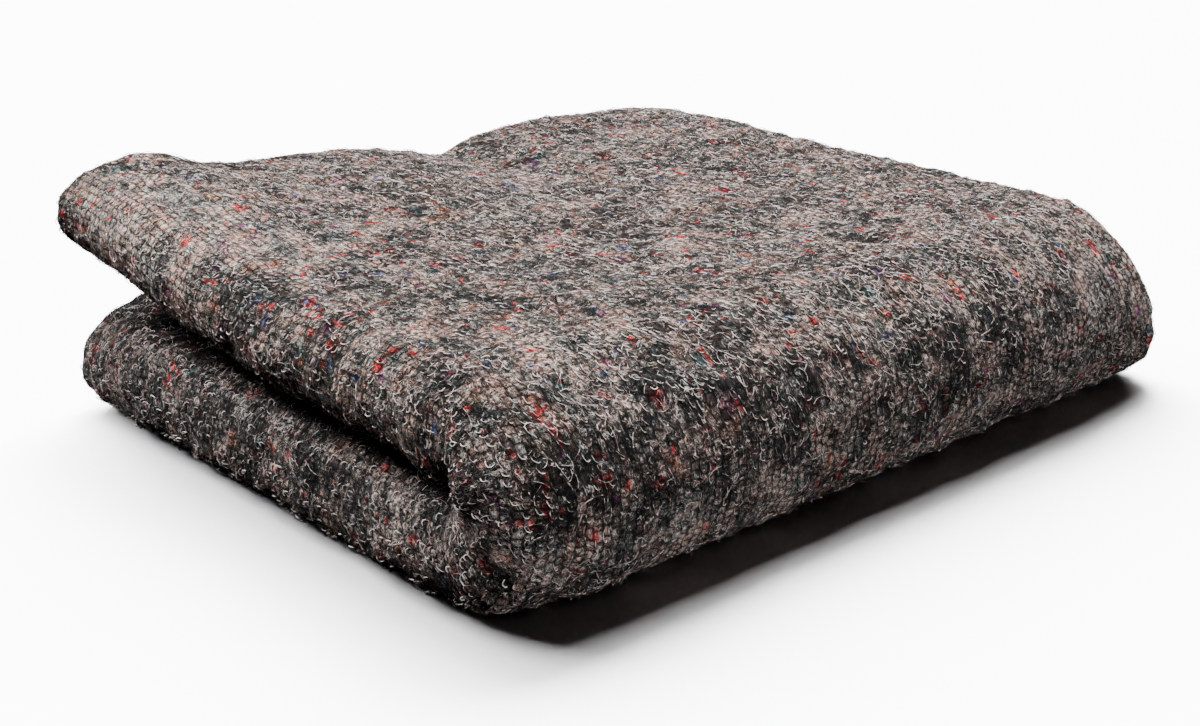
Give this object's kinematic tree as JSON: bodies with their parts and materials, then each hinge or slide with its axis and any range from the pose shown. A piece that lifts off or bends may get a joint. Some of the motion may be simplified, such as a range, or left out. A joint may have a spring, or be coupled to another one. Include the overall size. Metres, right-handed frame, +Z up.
{
  "type": "folded moving blanket",
  "caption": "Recycled-felt moving blanket folded into a thick soft pack with a large rounded front fold and plump lobes that gape at a corner.",
  "frame": {"origin": "middle of the pack's underside, on the surface that it lies on", "axes": "+X from the plump folded ends of the two lobes to the right-hand end, +Y from the large rounded front fold to the back edges, +Z up"},
  "size_m": [0.3668, 0.3106, 0.0992],
  "materials": {
    "recycled_felt": "stitch-bonded felt of mixed recycled fibres, dull and hairy, grey-brown flecked with white, black and red"
  },
  "bodies": {
    "root": {"blanket": "recycled_felt"}
  },
  "joints": []
}
